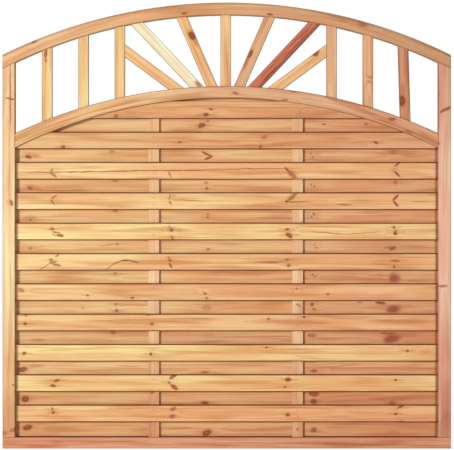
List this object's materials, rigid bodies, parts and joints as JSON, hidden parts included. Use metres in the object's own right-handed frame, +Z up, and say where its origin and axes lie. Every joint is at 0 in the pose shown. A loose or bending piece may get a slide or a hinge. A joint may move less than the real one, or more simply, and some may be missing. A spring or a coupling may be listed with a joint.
{
  "type": "fence panel",
  "caption": "Arched wooden fence panel with overlapping horizontal slats on both faces, and a sunburst of bars between two curved rails at the top.",
  "frame": {"origin": "middle of the underside, at half the panel's depth", "axes": "+Z up, +X along the panel's width to the right as seen from the front, +Y from the front to the back"},
  "size_m": [1.8, 0.045, 1.7899],
  "materials": {
    "pine_frame": "planed, clear",
    "pine_slat": "planed, clear",
    "pine_batten": "planed, clear",
    "pine_bar": "planed, clear",
    "beech_dowel": "plain",
    "nail_steel": "dull"
  },
  "bodies": {
    "root": {"back_slat_01": "pine_slat", "back_slat_02": "pine_slat", "back_slat_03": "pine_slat", "back_slat_04": "pine_slat", "back_slat_05": "pine_slat", "back_slat_06": "pine_slat", "back_slat_07": "pine_slat", "back_slat_08": "pine_slat", "back_slat_09": "pine_slat", "back_slat_10": "pine_slat", "back_slat_11": "pine_slat", "back_slat_12": "pine_slat", "back_slat_nails": "nail_steel", "baluster_left_1": "pine_bar", "baluster_left_2": "pine_bar", "baluster_left_3": "pine_bar", "baluster_right_1": "pine_bar", "baluster_right_2": "pine_bar", "baluster_right_3": "pine_bar", "batten_left": "pine_batten", "batten_right": "pine_batten", "bottom_rail": "pine_frame", "centre_baluster": "pine_bar", "frame_dowels": "beech_dowel", "front_slat_01": "pine_slat", "front_slat_02": "pine_slat", "front_slat_03": "pine_slat", "front_slat_04": "pine_slat", "front_slat_05": "pine_slat", "front_slat_06": "pine_slat", "front_slat_07": "pine_slat", "front_slat_08": "pine_slat", "front_slat_09": "pine_slat", "front_slat_10": "pine_slat", "front_slat_11": "pine_slat", "front_slat_nails": "nail_steel", "infill_dowels": "beech_dowel", "left_stile": "pine_frame", "lower_arch": "pine_frame", "ray_left_high": "pine_bar", "ray_left_low": "pine_bar", "ray_left_middle": "pine_bar", "ray_right_high": "pine_bar", "ray_right_low": "pine_bar", "ray_right_middle": "pine_bar", "right_stile": "pine_frame", "top_arch": "pine_frame"}
  },
  "joints": []
}
